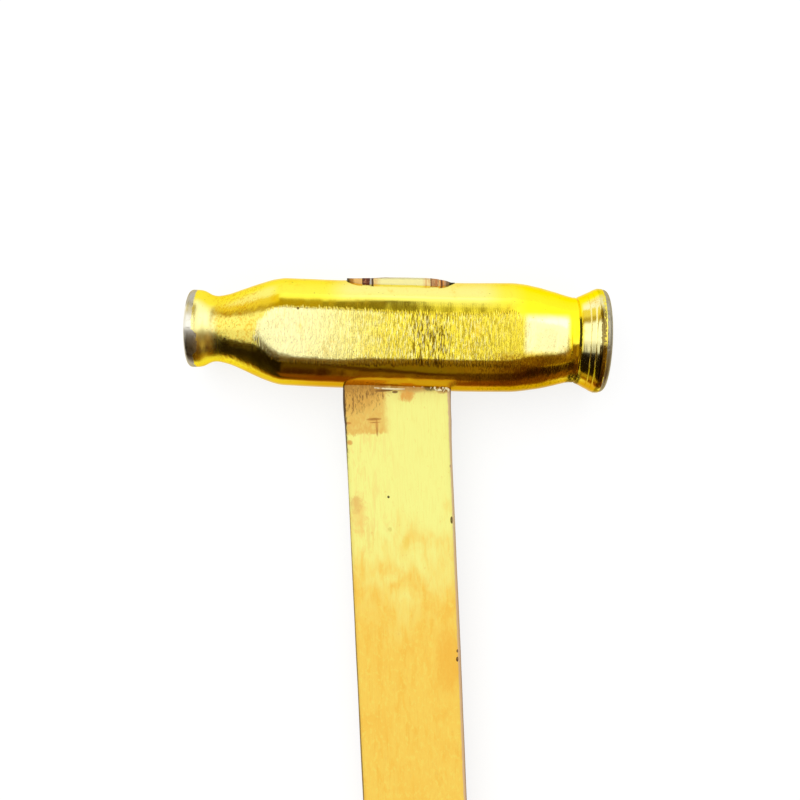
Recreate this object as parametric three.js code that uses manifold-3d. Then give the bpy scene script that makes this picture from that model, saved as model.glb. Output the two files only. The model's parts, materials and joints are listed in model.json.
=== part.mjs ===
// A body hammer for beating out sheet metal, in millimetres, lying on its side with +Z up.
// The head runs along X, from the small face at -X to the large face at +X.
// The handle runs towards -Y and its end shows at the top of the head, towards +Y.
import * as THREE from "three";
import { mergeVertices } from "three/addons/utils/BufferGeometryUtils.js";
import Module from "manifold-3d";

// Head: turned from round bar, necked behind each face, with both cheeks ground flat.
const HEAD_LENGTH = 116;
const BODY_RADIUS_SMALL_END = 14.9;
const BODY_RADIUS_LARGE_END = 15.15;
const BODY_FROM = -30.5;
const BODY_TO = 31;
const CHEEK_WIDTH = 26.6;

// At the large end the grinding follows the taper: [place along the head, distance from the axis].
const CHEEK_RUN_OUT = [[35.5, 13.3], [37.5, 13.05], [40, 12.65], [43, 12], [46, 11.6], [49, 11.6]];

const SMALL_FACE_RADIUS = 10.75;
const SMALL_FACE_CROWN = 0.6;
const SMALL_EDGE_ROUND = 1;
const SMALL_LAND_TO = -53.7;
const SMALL_BEVEL_TO = -51;
const SMALL_BEVEL_RADIUS = 9.45;
const SMALL_NECK_RADIUS = 9.15;
const SMALL_NECK_AT = -49.6;

const LARGE_FACE_RADIUS = 14.5;
const LARGE_EDGE_ROUND = 1.3;
const LARGE_NECK_RADIUS = 11.85;
const LARGE_NECK_AT = 48.9;
const FLARE_FROM = 50.1;
const FLARE_TO = 55.2;
const FLARE_START_RADIUS = 12.05;

// Turning marks on the large end: an undercut at the neck and two fine rings on the flare.
const UNDERCUT = { width: 0.8, depth: 0.35 };
const RINGS = { places: [0.45, 0.7], width: 0.4, depth: 0.12 };

// Eye: the slot with round ends that the handle goes through, waisted like an hourglass.
const EYE_AT = 0.6;
const EYE_WAIST_LENGTH = 29.6;
const EYE_MOUTH_LENGTH = 31;
const EYE_WAIST_WIDTH = 12.2;
const EYE_TOP_MOUTH_WIDTH = 11.5;
const EYE_HANDLE_MOUTH_WIDTH = 13;

// Handle: a plank with eased edges, coped to the round of the head and hung a little out of square.
const HAMMER_LENGTH = 320;
const HANDLE_WIDTH = 29.3;
const HANDLE_GRIP_WIDTH = 29.8;
const HANDLE_THICKNESS = 14;
const HANDLE_EDGE_ROUND = 1.6;
const HANDLE_COCK = THREE.MathUtils.degToRad(4.3);
const COCK_RUN = 9;
const BUTT_ROUND = 1.5;
const SEAT_GAP = 0.3;

// Tenon: the part of the handle inside the eye. Its end stands proud and is slightly domed.
const TENON_LENGTH_AT_SHOULDER = 28.8;
const TENON_LENGTH_AT_END = 26.4;
const TENON_WIDTH_AT_SHOULDER = 11.5;
const TENON_WIDTH_AT_END = 11;
const TENON_CORNER = 5.2;
const TENON_PROUD = 1;
const TENON_DOME = 0.7;

// Wedges: a hardwood one in a sawn kerf along the eye, and two steel ones driven across it.
const WOODEN_WEDGE = { length: 24.6, thickTop: 3, thickTip: 0.8, depth: 22, proud: 0.55 };
const STEEL_WEDGE = { width: 9.4, thickTop: 2.2, thickTip: 0.6, depth: 15, proud: 0.5 };
const STEEL_WEDGE_PLACES = { steel_wedge_small_side: -9.3, steel_wedge_large_side: 9.5 };
const WEDGE_GAP = 0.25;

// Facets
const TURNED_SIDES = 60;
const CORNER_STEPS = 5;
const DOME_STEPS = 4;

const EYE_TOP = (BODY_RADIUS_SMALL_END + BODY_RADIUS_LARGE_END) / 2;
const CHEEK_REACH = Math.sqrt(EYE_TOP ** 2 - (CHEEK_WIDTH / 2) ** 2);

const wasm = await Module();
wasm.setup();

// Conversion between three.js geometry and a manifold-3d solid.
function solid(geometry) {
  const bare = geometry.clone();
  bare.deleteAttribute("normal");
  bare.deleteAttribute("uv");
  const merged = mergeVertices(bare, 1e-4);
  return new wasm.Manifold(
    new wasm.Mesh({
      numProp: 3,
      vertProperties: merged.attributes.position.array,
      triVerts: new Uint32Array(merged.index.array),
    }),
  );
}

function geometryOf(manifold) {
  const mesh = manifold.getMesh();
  const geometry = new THREE.BufferGeometry();
  geometry.setAttribute("position", new THREE.BufferAttribute(mesh.vertProperties, 3));
  geometry.setIndex(new THREE.BufferAttribute(mesh.triVerts, 1));
  geometry.computeVertexNormals();
  return geometry;
}

// A rectangle with round corners, as points [x, z] going from +X towards +Z.
function roundedOutline(length, width, corner) {
  const points = [];
  const corners = [[1, 1], [-1, 1], [-1, -1], [1, -1]];
  corners.forEach(([sideX, sideZ], quarter) => {
    for (let step = 0; step <= CORNER_STEPS; step++) {
      const angle = ((quarter + step / CORNER_STEPS) * Math.PI) / 2;
      points.push([
        sideX * (length / 2 - corner) + corner * Math.cos(angle),
        sideZ * (width / 2 - corner) + corner * Math.sin(angle),
      ]);
    }
  });
  return points;
}

// A closed solid through sections stacked along Y, lowest first. A section is an outline of [x, z]
// points centred on (x, y), turned about Z by turn; all outlines have as many points.
function loft(sections) {
  const positions = [];
  for (const { outline, x = 0, y, turn = 0 } of sections)
    for (const [across, z] of outline)
      positions.push(x + across * Math.cos(turn), y + across * Math.sin(turn), z);
  const count = sections[0].outline.length;
  const last = (sections.length - 1) * count;
  const index = [];
  for (let ring = 0; ring < last; ring += count)
    for (let i = 0; i < count; i++) {
      const next = (i + 1) % count;
      index.push(ring + i, ring + count + i, ring + next);
      index.push(ring + next, ring + count + i, ring + count + next);
    }
  for (let i = 1; i < count - 1; i++) {
    index.push(0, i, i + 1);
    index.push(last, last + i + 1, last + i);
  }
  const geometry = new THREE.BufferGeometry();
  geometry.setAttribute("position", new THREE.Float32BufferAttribute(positions, 3));
  geometry.setIndex(index);
  return geometry;
}

// The head's outline from the middle of the small face to the middle of the large one.
// A path's x is the radius and its y the place along the head.
function headProfile() {
  const smallFace = -HEAD_LENGTH / 2;
  const largeFace = HEAD_LENGTH / 2;
  const path = new THREE.Path();

  const crownEdge = SMALL_FACE_RADIUS - SMALL_EDGE_ROUND;
  const crownFoot = smallFace + SMALL_FACE_CROWN;
  path.moveTo(0, smallFace);
  path.quadraticCurveTo(crownEdge / 2, smallFace, crownEdge, crownFoot);
  path.absarc(crownEdge, crownFoot + SMALL_EDGE_ROUND, SMALL_EDGE_ROUND, -Math.PI / 2, 0, false);
  path.lineTo(SMALL_FACE_RADIUS, SMALL_LAND_TO);
  path.lineTo(SMALL_BEVEL_RADIUS, SMALL_BEVEL_TO);
  path.quadraticCurveTo(
    SMALL_NECK_RADIUS, SMALL_BEVEL_TO + 0.6,
    SMALL_NECK_RADIUS, SMALL_NECK_AT,
  );
  path.bezierCurveTo(
    SMALL_NECK_RADIUS, SMALL_NECK_AT + 4.1,
    BODY_RADIUS_SMALL_END, BODY_FROM - 5.5,
    BODY_RADIUS_SMALL_END, BODY_FROM,
  );
  path.lineTo(BODY_RADIUS_LARGE_END, BODY_TO);
  path.bezierCurveTo(
    BODY_RADIUS_LARGE_END, BODY_TO + 7,
    LARGE_NECK_RADIUS + 0.25, LARGE_NECK_AT - 2.9,
    LARGE_NECK_RADIUS, LARGE_NECK_AT - UNDERCUT.width / 2,
  );
  path.lineTo(LARGE_NECK_RADIUS - UNDERCUT.depth, LARGE_NECK_AT);
  path.lineTo(LARGE_NECK_RADIUS, LARGE_NECK_AT + UNDERCUT.width / 2);

  path.lineTo(FLARE_START_RADIUS, FLARE_FROM);
  const onFlare = (along) => new THREE.Vector2(
    THREE.MathUtils.lerp(FLARE_START_RADIUS, LARGE_FACE_RADIUS, along),
    THREE.MathUtils.lerp(FLARE_FROM, FLARE_TO, along),
  );
  for (const place of RINGS.places) {
    const ring = onFlare(place);
    path.lineTo(ring.x, ring.y);
    path.lineTo(ring.x - RINGS.depth, ring.y + RINGS.width / 2);
    path.lineTo(ring.x + RINGS.depth, ring.y + RINGS.width);
  }
  path.lineTo(LARGE_FACE_RADIUS, FLARE_TO);
  const flatEdge = LARGE_FACE_RADIUS - LARGE_EDGE_ROUND;
  path.lineTo(LARGE_FACE_RADIUS, largeFace - LARGE_EDGE_ROUND);
  path.absarc(flatEdge, largeFace - LARGE_EDGE_ROUND, LARGE_EDGE_ROUND, 0, Math.PI / 2, false);
  path.lineTo(0, largeFace);
  return path.getPoints(8);
}

// The eye's slot, long at both mouths and shortest at the head's axis.
function eyeSlot() {
  const sections = [];
  for (let y = -18; y <= 18; y += 4) {
    const flare = Math.min(1, (y / EYE_TOP) ** 2);
    const mouthWidth = y > 0 ? EYE_TOP_MOUTH_WIDTH : EYE_HANDLE_MOUTH_WIDTH;
    const length = THREE.MathUtils.lerp(EYE_WAIST_LENGTH, EYE_MOUTH_LENGTH, flare);
    const width = THREE.MathUtils.lerp(EYE_WAIST_WIDTH, mouthWidth, flare);
    sections.push({ x: EYE_AT, y, outline: roundedOutline(length, width, width / 2) });
  }
  return loft(sections);
}

// What the grinding of the two cheeks leaves, seen from the top of the head; round at both faces.
function betweenCheeks() {
  const upper = [[SMALL_NECK_AT, CHEEK_WIDTH / 2], ...CHEEK_RUN_OUT];
  const lower = upper.map(([x, z]) => [x, -z]).reverse();
  const shape = new THREE.Shape([...upper, ...lower].map(([x, z]) => new THREE.Vector2(x, z)));
  const slab = new THREE.ExtrudeGeometry(shape, { depth: 60, bevelEnabled: false });
  slab.translate(0, 0, -30).rotateX(Math.PI / 2);
  const face = new THREE.BoxGeometry(30, 60, 60);
  return solid(slab)
    .add(solid(face.clone().translate(LARGE_NECK_AT + 15, 0, 0)))
    .add(solid(face.clone().translate(SMALL_NECK_AT - 15, 0, 0)));
}

function headGeometry() {
  const turned = new THREE.LatheGeometry(headProfile(), TURNED_SIDES).rotateZ(-Math.PI / 2);
  return geometryOf(solid(turned).intersect(betweenCheeks()).subtract(solid(eyeSlot())));
}

// A wedge with its thin tip down the eye, from is its distance from the eye's middle.
// along is "x" or "z", the way its broad side runs. The room for a wedge is the same shape,
// larger by gap all round, longer by run at both ends and open at the top.
function wedge({ length, thickTop, thickTip, depth, proud }, along, from, gap = 0, run = 0) {
  const rectangle = (thick) => {
    const broad = length + 2 * run;
    const thin = thick + 2 * gap;
    const [dx, dz] = along === "x" ? [broad, thin] : [thin, broad];
    return [[dx / 2, dz / 2], [-dx / 2, dz / 2], [-dx / 2, -dz / 2], [dx / 2, -dz / 2]];
  };
  const x = EYE_AT + from;
  const top = EYE_TOP + proud;
  const rise = gap > 0 ? 4 : 0;
  const thickening = (thickTop - thickTip) / depth;
  return loft([
    { x, y: top - depth - gap, outline: rectangle(thickTip) },
    { x, y: top + rise, outline: rectangle(thickTop + thickening * rise) },
  ]);
}

const steelWedge = { ...STEEL_WEDGE, length: STEEL_WEDGE.width };

// Room for the steel wedges, cut through the tenon from side to side.
function steelWedgeSlots() {
  return Object.values(STEEL_WEDGE_PLACES)
    .map((from) => solid(wedge(steelWedge, "z", from, WEDGE_GAP, 2)))
    .reduce((all, slot) => all.add(slot));
}

// The plank from the rounded butt up into the head's round, before it is coped.
function plank() {
  const straightFrom = -EYE_TOP;
  const distanceToButt = (HAMMER_LENGTH - 2 * EYE_TOP - TENON_PROUD) / Math.cos(HANDLE_COCK);
  const along = (distance) => ({
    x: EYE_AT + Math.sin(HANDLE_COCK) * distance,
    y: straightFrom - Math.cos(HANDLE_COCK) * distance,
    turn: HANDLE_COCK,
  });
  const outline = (width, inset = 0) =>
    roundedOutline(width - 2 * inset, HANDLE_THICKNESS - 2 * inset, HANDLE_EDGE_ROUND - inset);

  const sections = [];
  const roundSteps = 4;
  for (let step = 0; step <= roundSteps; step++) {
    const angle = (step / roundSteps) * (Math.PI / 2);
    sections.push({
      ...along(distanceToButt - BUTT_ROUND * (1 - Math.cos(angle))),
      outline: outline(HANDLE_GRIP_WIDTH, BUTT_ROUND * (1 - Math.sin(angle))),
    });
  }
  sections.push({ ...along(distanceToButt / 3), outline: outline(HANDLE_GRIP_WIDTH) });
  sections.push({ ...along(COCK_RUN), outline: outline(HANDLE_WIDTH) });
  sections.push({ x: EYE_AT, y: straightFrom, outline: outline(HANDLE_WIDTH) });
  sections.push({ x: EYE_AT, y: straightFrom / 2, outline: outline(HANDLE_WIDTH) });
  return loft(sections);
}

function tenon() {
  const end = EYE_TOP + TENON_PROUD;
  const outline = (length, width, scale = 1) =>
    roundedOutline(length * scale, width * scale, TENON_CORNER * scale);
  const sections = [
    {
      x: EYE_AT,
      y: -EYE_TOP - 2,
      outline: outline(TENON_LENGTH_AT_SHOULDER, TENON_WIDTH_AT_SHOULDER),
    },
  ];
  for (let step = 0; step < DOME_STEPS; step++) {
    const scale = 1 - step / DOME_STEPS;
    sections.push({
      x: EYE_AT,
      y: end - TENON_DOME * scale ** 2,
      outline: outline(TENON_LENGTH_AT_END, TENON_WIDTH_AT_END, scale),
    });
  }
  return loft(sections);
}

function handleGeometry() {
  const seat = BODY_RADIUS_LARGE_END + SEAT_GAP;
  const headRound = new THREE.CylinderGeometry(seat, seat, 2 * BODY_TO, TURNED_SIDES);
  headRound.rotateZ(Math.PI / 2);
  const kerf = wedge(WOODEN_WEDGE, "x", 0, WEDGE_GAP, 3);
  return geometryOf(
    solid(plank())
      .subtract(solid(headRound))
      .add(solid(tenon()))
      .subtract(solid(kerf))
      .subtract(steelWedgeSlots()),
  );
}

function woodenWedgeGeometry() {
  return geometryOf(solid(wedge(WOODEN_WEDGE, "x", 0)).subtract(steelWedgeSlots()));
}

// Materials
const gilt = new THREE.MeshStandardMaterial({ color: 0xe8bf2e, roughness: 0.28, metalness: 1 });
const paleWood = new THREE.MeshStandardMaterial({ color: 0xf3d983, roughness: 0.62, metalness: 0 });
const hardwood = new THREE.MeshStandardMaterial({ color: 0x9a6334, roughness: 0.7, metalness: 0 });
const steel = new THREE.MeshStandardMaterial({ color: 0x7d6f66, roughness: 0.45, metalness: 1 });

const hammer = new THREE.Group();

function place(name, geometry, material) {
  const mesh = new THREE.Mesh(geometry, material);
  mesh.name = name;
  hammer.add(mesh);
}

place("hammer_head", headGeometry(), gilt);
place("handle", handleGeometry(), paleWood);
place("wooden_wedge", woodenWedgeGeometry(), hardwood);
for (const [name, from] of Object.entries(STEEL_WEDGE_PLACES))
  place(name, wedge(steelWedge, "z", from), steel);

// Lying, the hammer touches the table with the large face's rim, the small end of the cheek and
// the butt. The triangle of these three points is turned to face down.
const buttDistance = HAMMER_LENGTH - 2 * EYE_TOP - TENON_PROUD - BUTT_ROUND;
const rim = new THREE.Vector3(FLARE_TO, 0, -LARGE_FACE_RADIUS);
const cheekEnd = new THREE.Vector3(BODY_FROM - 3, -CHEEK_REACH + 1.2, -CHEEK_WIDTH / 2);
const butt = new THREE.Vector3(
  EYE_AT + buttDistance * Math.sin(HANDLE_COCK) - HANDLE_GRIP_WIDTH / 2 + HANDLE_EDGE_ROUND,
  -EYE_TOP - buttDistance,
  -HANDLE_THICKNESS / 2,
);
const table = new THREE.Plane().setFromCoplanarPoints(rim, butt, cheekEnd);
hammer.quaternion.setFromUnitVectors(table.normal, new THREE.Vector3(0, 0, -1));

// The origin is the middle of the footprint, at the height of the lowest point.
hammer.updateMatrixWorld(true);
const box = new THREE.Box3().setFromObject(hammer, true);
hammer.position.set(-(box.min.x + box.max.x) / 2, -(box.min.y + box.max.y) / 2, -box.min.z);

export default hammer;
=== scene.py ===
# Looks of the body hammer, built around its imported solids.
# Shapes are worked out in millimetres in the head's own frame: X along the head towards the
# large face, Y towards the top of the head, Z out of the upper cheek. They are then placed in
# the row frame, in metres.
import json
import math
import random

import bmesh
import bpy
import numpy as np
from mathutils import Matrix, Vector, noise


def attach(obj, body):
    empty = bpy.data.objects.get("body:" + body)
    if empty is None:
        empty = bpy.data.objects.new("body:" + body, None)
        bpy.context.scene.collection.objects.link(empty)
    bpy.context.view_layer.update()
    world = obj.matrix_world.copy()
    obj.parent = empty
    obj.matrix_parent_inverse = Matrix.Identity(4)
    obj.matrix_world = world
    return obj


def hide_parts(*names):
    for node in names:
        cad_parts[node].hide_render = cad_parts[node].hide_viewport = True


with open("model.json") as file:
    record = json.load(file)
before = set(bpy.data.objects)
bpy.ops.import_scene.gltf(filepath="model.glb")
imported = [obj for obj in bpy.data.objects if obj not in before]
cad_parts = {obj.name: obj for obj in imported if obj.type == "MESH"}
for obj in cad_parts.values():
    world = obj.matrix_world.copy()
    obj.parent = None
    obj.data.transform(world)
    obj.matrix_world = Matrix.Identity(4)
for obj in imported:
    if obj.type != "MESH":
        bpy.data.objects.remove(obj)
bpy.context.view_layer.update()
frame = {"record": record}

# The same sizes as the solids have, in millimetres
CHEEK = 13.3
BODY_SMALL, BODY_LARGE = 14.9, 15.15
LARGE_NECK = 11.85
EYE_AT = 0.6
EYE_TOP = 15.025
HAMMER_LENGTH = 320.0
HANDLE_WIDTH, GRIP_WIDTH, HANDLE_THICK, HANDLE_ROUND = 29.3, 29.8, 14.0, 1.6
COCK = math.radians(4.3)
COCK_RUN = 9.0
TENON_PROUD = 1.0
TO_BUTT = (HAMMER_LENGTH - 2 * EYE_TOP - TENON_PROUD) / math.cos(COCK)

# Sizes of the dressed pieces, which stay a hair inside the solids' box
SMALL_FACE, LARGE_FACE = -57.98, 57.95
SMALL_FLARE, SMALL_NECK = 10.74, 9.15
FACE_EDGE, GROUND_END = 56.3, 47.5
EYE_LENGTH, EYE_WIDTH, MOUTH_SHIFT = 29.6, 12.2, 0.3
SEAT = BODY_LARGE + 0.22
BUTT_ROUND = 1.5
WEDGE_TOP = EYE_TOP + 0.8
HALF_WIDTH, UPPER_SIDE = HANDLE_WIDTH / 2, HANDLE_THICK / 2

# Length, thickness at the top and at the tip, depth, along which axis, where from the eye's middle
WEDGES = {
    "wooden_wedge": (24.6, 3.0, 0.8, 22.0, "x", 0.1),
    "steel_wedge_small_side": (9.4, 2.1, 0.6, 15.0, "z", -9.2),
    "steel_wedge_large_side": (9.4, 2.2, 0.6, 15.0, "z", 9.5),
}

# Marks on the handle that are both cut and darkened: across it, and up it from the seam
PIN_HOLE = (-3.51, -29.43)
UPPER_KNOCK, SMALL_KNOCK, LOWER_KNOCK = (13.7, -36.7), (13.84, -74.1), (13.76, -76.5)

# Frames
mounts = {m["name"]: m for m in frame["record"]["mounts"]}
AXIS_X = Vector(mounts["large_striking_face"]["axis"]).normalized()
AXIS_Z = Vector(mounts["upper_cheek"]["axis"]).normalized()
AXIS_Y = AXIS_Z.cross(AXIS_X).normalized()
cheek_point = Vector(mounts["upper_cheek"]["pos_m"])
ORIGIN = cheek_point - AXIS_Z * CHEEK / 1000 - AXIS_X * EYE_AT / 1000
TURN = Matrix((AXIS_X, AXIS_Y, AXIS_Z)).transposed()
HEAD = Matrix.Translation(ORIGIN) @ TURN.to_4x4() @ Matrix.Scale(0.001, 4)

# The plank's own frame: x across, y up the handle towards the head, z out of the upper side.
PLANK = Matrix.Translation((EYE_AT, -EYE_TOP, 0)) @ Matrix.Rotation(COCK, 4, "Z")


def moved(points, place):
    m = np.array(place)
    return np.asarray(points) @ m[:3, :3].T + m[:3, 3]


# Meshes
def show(name, data):
    """A new object in the scene."""
    obj = bpy.data.objects.new(name, data)
    bpy.context.scene.collection.objects.link(obj)
    return obj


def mesh_object(name, verts, faces, place=None):
    """A mesh from points in millimetres, in the head's frame or one inside it."""
    points = moved(verts, HEAD @ place if place else HEAD)
    mesh = bpy.data.meshes.new(name)
    mesh.from_pydata([tuple(v) for v in points], [], [tuple(f) for f in faces])
    mesh.validate()
    bm = bmesh.new()
    bm.from_mesh(mesh)
    bmesh.ops.recalc_face_normals(bm, faces=bm.faces)
    bm.to_mesh(mesh)
    bm.free()
    return show(name, mesh)


def grid_faces(rows, columns, offset=0):
    """Quads between rows of points that each close on themselves."""
    faces = []
    for r in range(rows - 1):
        for c in range(columns):
            n = (c + 1) % columns
            a, b = offset + r * columns, offset + (r + 1) * columns
            faces.append((a + c, a + n, b + n, b + c))
    return faces


def stacked(name, sections):
    """A closed mesh through outlines stacked along Y: (x, y, points across and up).

    Each outline is a mirror image of itself read backwards, which gives the ends their rungs.
    """
    verts = [(x + across, y, z) for x, y, points in sections for across, z in points]
    count = len(sections[0][2])
    faces = grid_faces(len(sections), count)
    for end in (0, (len(sections) - 1) * count):
        faces += [(end + i, end + i + 1, end + count - 2 - i, end + count - 1 - i)
                  for i in range(count // 2 - 1)]
    return mesh_object(name, verts, faces)


def join(objects):
    first = objects[0]
    with bpy.context.temp_override(active_object=first, selected_editable_objects=objects):
        bpy.ops.object.join()
    return first


def boolean(obj, cutter, operation="DIFFERENCE"):
    mod = obj.modifiers.new("cut", "BOOLEAN")
    mod.object = cutter
    mod.operation = operation
    mod.solver = "EXACT"
    graph = bpy.context.evaluated_depsgraph_get()
    mesh = bpy.data.meshes.new_from_object(obj.evaluated_get(graph))
    obj.modifiers.clear()
    obj.data = mesh
    bpy.data.objects.remove(cutter)


def finish_piece(obj, material, place=None, sharp=38):
    """Smooth shading with real edges kept, and each point's place in millimetres as an attribute."""
    mesh = obj.data
    mesh.shade_smooth()
    mesh.set_sharp_from_angle(angle=math.radians(sharp))
    co = np.empty(len(mesh.vertices) * 3)
    mesh.vertices.foreach_get("co", co)
    local = moved(co.reshape(-1, 3), (HEAD @ place if place else HEAD).inverted())
    attribute = mesh.attributes.new("place", "FLOAT_VECTOR", "POINT")
    attribute.data.foreach_set("vector", local.astype(np.float32).ravel())
    mesh.materials.clear()
    mesh.materials.append(material)
    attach(obj, "root")
    return obj


# Curves and noise
def wobble(x, y, z, scale, seed):
    """Smooth noise from about -1 to 1."""
    return noise.noise(Vector((x * scale + seed, y * scale - seed, z * scale + 0.37 * seed)))


def bell(x, middle, width):
    return math.exp(-(((x - middle) / width) ** 2))


def ramp(x, low, high):
    t = min(1.0, max(0.0, (x - low) / (high - low)))
    return t * t * (3 - 2 * t)


def between(x, rise, fall):
    """1 between the rise and the fall, which are each given by their two ends."""
    return ramp(x, *rise) * ramp(-x, -fall[1], -fall[0])


def soft_min(a, b, k):
    h = min(max(0.5 + 0.5 * (b - a) / k, 0.0), 1.0)
    return b * (1 - h) + a * h - k * h * (1 - h)


def curve(p0, p1, p2, p3, steps):
    t = np.linspace(0, 1, steps + 1)[1:, None]
    p0, p1, p2, p3 = map(np.array, (p0, p1, p2, p3))
    return (1 - t) ** 3 * p0 + 3 * t * (1 - t) ** 2 * p1 + 3 * t**2 * (1 - t) * p2 + t**3 * p3


def arc(centre, radius, start, end):
    t = np.radians(np.linspace(start, end, 9))
    return np.stack([centre[0] + radius * np.cos(t), centre[1] + radius * np.sin(t)], -1)


# The head
def head_profile():
    """Points (along the head, radius) from the middle of the small face to that of the large one."""
    step, closest = 0.3, 0.04
    t = np.linspace(0, 1, 14)[:, None]
    crown = (1 - t) ** 2 * (SMALL_FACE, 0.0) + 2 * t * (1 - t) * (SMALL_FACE, 4.9) + t**2 * (-57.4, 9.75)
    undercut = [(49.3, LARGE_NECK), (49.45, 11.6), (49.75, 11.5), (49.95, 11.9), (50.2, 12.05)]
    # The flare, stepped by the turning tool.
    flare = [(51.3, 12.55), (52.15, 12.98), (52.3, 12.92), (52.5, 13.14), (53.5, 13.62), (53.65, 13.58),
             (53.85, 13.84), (54.6, 14.22), (54.75, 14.24), (55.2, 14.45), (56.2, 14.47), (56.75, 14.27)]
    parts = [
        crown,
        arc((-56.4, 9.75), 1.0, 180, 90),
        [(-55.2, SMALL_FLARE)],
        curve((-55.2, SMALL_FLARE), (-52.4, SMALL_FLARE), (-52.2, 9.13), (-49.6, SMALL_NECK), 24),
        curve((-49.6, SMALL_NECK), (-45.5, SMALL_NECK), (-36.0, BODY_SMALL), (-30.5, BODY_SMALL), 50),
        [(31.0, BODY_LARGE)],
        curve((31.0, BODY_LARGE), (38.0, BODY_LARGE), (46.0, 12.1), (48.7, LARGE_NECK), 50),
        undercut,
        flare,
        arc((56.7, 13.02), 1.25, 86, 0),
        [(LARGE_FACE, 0.0)],
    ]
    line = np.vstack([np.asarray(p, float).reshape(-1, 2) for p in parts])
    line = line[np.r_[True, np.linalg.norm(np.diff(line, axis=0), axis=1) > 1e-6]]
    length = np.r_[0, np.cumsum(np.linalg.norm(np.diff(line, axis=0), axis=1))]
    # Every corner of the line stays a point, so that fine rings are crisp.
    at = np.union1d(np.linspace(0, length[-1], int(length[-1] / step)), length)
    at = at[np.r_[True, np.diff(at) > closest]]
    return np.stack([np.interp(at, length, line[:, 0]), np.interp(at, length, line[:, 1])], -1)


def sag(x):
    """How far the head's middle line strays towards the handle."""
    return 0.27 * bell(x, -16, 15) - 0.17 * bell(x, -46, 8) - 0.22 * bell(x, 35, 9) + 0.2 * bell(x, 16, 12)


def cheek_limit(x, y, side):
    """Half the thickness that grinding leaves: flat, then along the taper at the large end."""
    limit = np.interp(x, (35, 37.5, 40, 43, 46, GROUND_END), (CHEEK, 13.05, 12.65, 12.0, 11.6, 11.75))
    # The waves of the underside stay above what the hammer lies on.
    limit -= 0.03 if side < 0 else 0.0
    waves = 0.045 * wobble(x, y, 20 * side, 0.11, 1.3)
    return limit + waves + 0.02 * wobble(x * 1.4, y * 0.25, 9 * side, 1.0, 5.0)


# How the flanks depart from round: by how much, at which angle up from the cheek's middle, how
# wide, and where along the head this starts and ends
FLANKS = (
    (-0.3, -27, 9, (-4, 12), (30, 40)),
    (0.2, -27, 10, (-36, -28), (-18, -6)),
    (-0.28, 27, 9, (-22, 0), (20, 54)),
    (-0.2, 26, 8, (-8, 4), (18, 54)),
)


def head_point(x, radius, angle):
    """A point of the head's skin. The edges of both faces stay round and smooth."""
    s, c = math.sin(angle), math.cos(angle)
    degrees = math.degrees(math.atan2(s, abs(c)))
    r = radius
    if abs(x) < FACE_EDGE:
        inner = ramp(56 - abs(x), 0, 5)
        r += inner * 0.05 * wobble(x, 9 * s, 9 * c, 0.13, 3.1)
        r += inner * 0.02 * wobble(x, 9 * s, 9 * c, 0.45, 7.7)
        rough = between(abs(x), (30, 38), (48, 51))
        r += rough * (0.07 * wobble(x, 8 * s, 8 * c, 0.3, 2.2) + 0.025 * wobble(x, 8 * s, 8 * c, 1.1, 4.4))
        # Towards the handle the thick part of the head is a little fuller than round.
        r += 0.35 * bell(degrees, -60, 16) * min(1, max(0, (radius - 9) / 5))
        for amount, middle, width, rise, fall in FLANKS:
            r += amount * bell(degrees, middle, width) * between(x, rise, fall)
    y, z = r * s, r * c
    if abs(x) < GROUND_END:
        side = 1 if z > 0 else -1
        soft = 0.32 + 0.25 * ramp(-y, 2, 6) + 0.5 * ramp(x, 28, 38) + 0.45 * ramp(-x, 25, 34)
        z = side * soft_min(abs(z), cheek_limit(x, y, side) + 0.1 * soft, soft)
    return x, y - sag(x), z


def make_head():
    profile = head_profile()[1:-1]
    sides = 360
    verts = [(SMALL_FACE, 0.0, 0.0)]
    for x, radius in profile:
        verts += [head_point(x, radius, 2 * math.pi * i / sides) for i in range(sides)]
    verts.append((LARGE_FACE, 0.0, 0.0))
    faces = grid_faces(len(profile), sides, 1)
    last = 1 + (len(profile) - 1) * sides
    for i in range(sides):
        n = (i + 1) % sides
        faces.append((0, 1 + n, 1 + i))
        faces.append((len(verts) - 1, last + i, last + n))
    head = mesh_object("head", verts, faces)
    boolean(head, eye_cutter())
    return head


def slot_outline(length, width, corner, steps=10):
    points = []
    for quarter, (sx, sz) in enumerate(((1, 1), (-1, 1), (-1, -1), (1, -1))):
        for step in range(steps + 1):
            a = (quarter + step / steps) * math.pi / 2
            points.append((sx * (length / 2 - corner) + corner * math.cos(a),
                           sz * (width / 2 - corner) + corner * math.sin(a)))
    return points


def eye_cutter():
    """The eye, a little uneven, with mouths that are longer and narrower than its middle."""
    sections = []
    for y in np.linspace(-18, 18, 25):
        flare = min(1.0, (y / EYE_TOP) ** 2)
        length = EYE_LENGTH + 1.4 * flare
        width = EYE_WIDTH - (1.0 if y > 0 else 0.3) * flare
        outline = [(px * (1 + 0.008 * wobble(px, y, pz, 0.3, 2.0)),
                    pz * (1 + 0.02 * wobble(px, y, pz, 0.5, 8.0)))
                   for px, pz in slot_outline(length, width, width / 2 - 0.03)]
        sections.append((EYE_AT + MOUTH_SHIFT * max(0, y / EYE_TOP), y, outline))
    return stacked("eye", sections)


# The handle
def top_line(x):
    """How high the hammered end of the handle stands, along the head."""
    return np.interp(x, (-14.4, -13, -9.0, -7.2, -3.5, 3, 8, 10.5, 12.5, 13.8, 14.4, 16.2),
                     (15.25, 15.28, 15.4, 15.5, 15.8, 15.95, 15.97, 15.8, 15.55, 15.3, 14.95, 14.95))


def lift(obj, above, height):
    """Moves each point above a height, in the head's frame, to the height worked out for it."""
    inverse = HEAD.inverted()
    for vert in obj.data.vertices:
        p = inverse @ vert.co
        if p.y > above:
            p.y = height(p)
            vert.co = HEAD @ p


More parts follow.
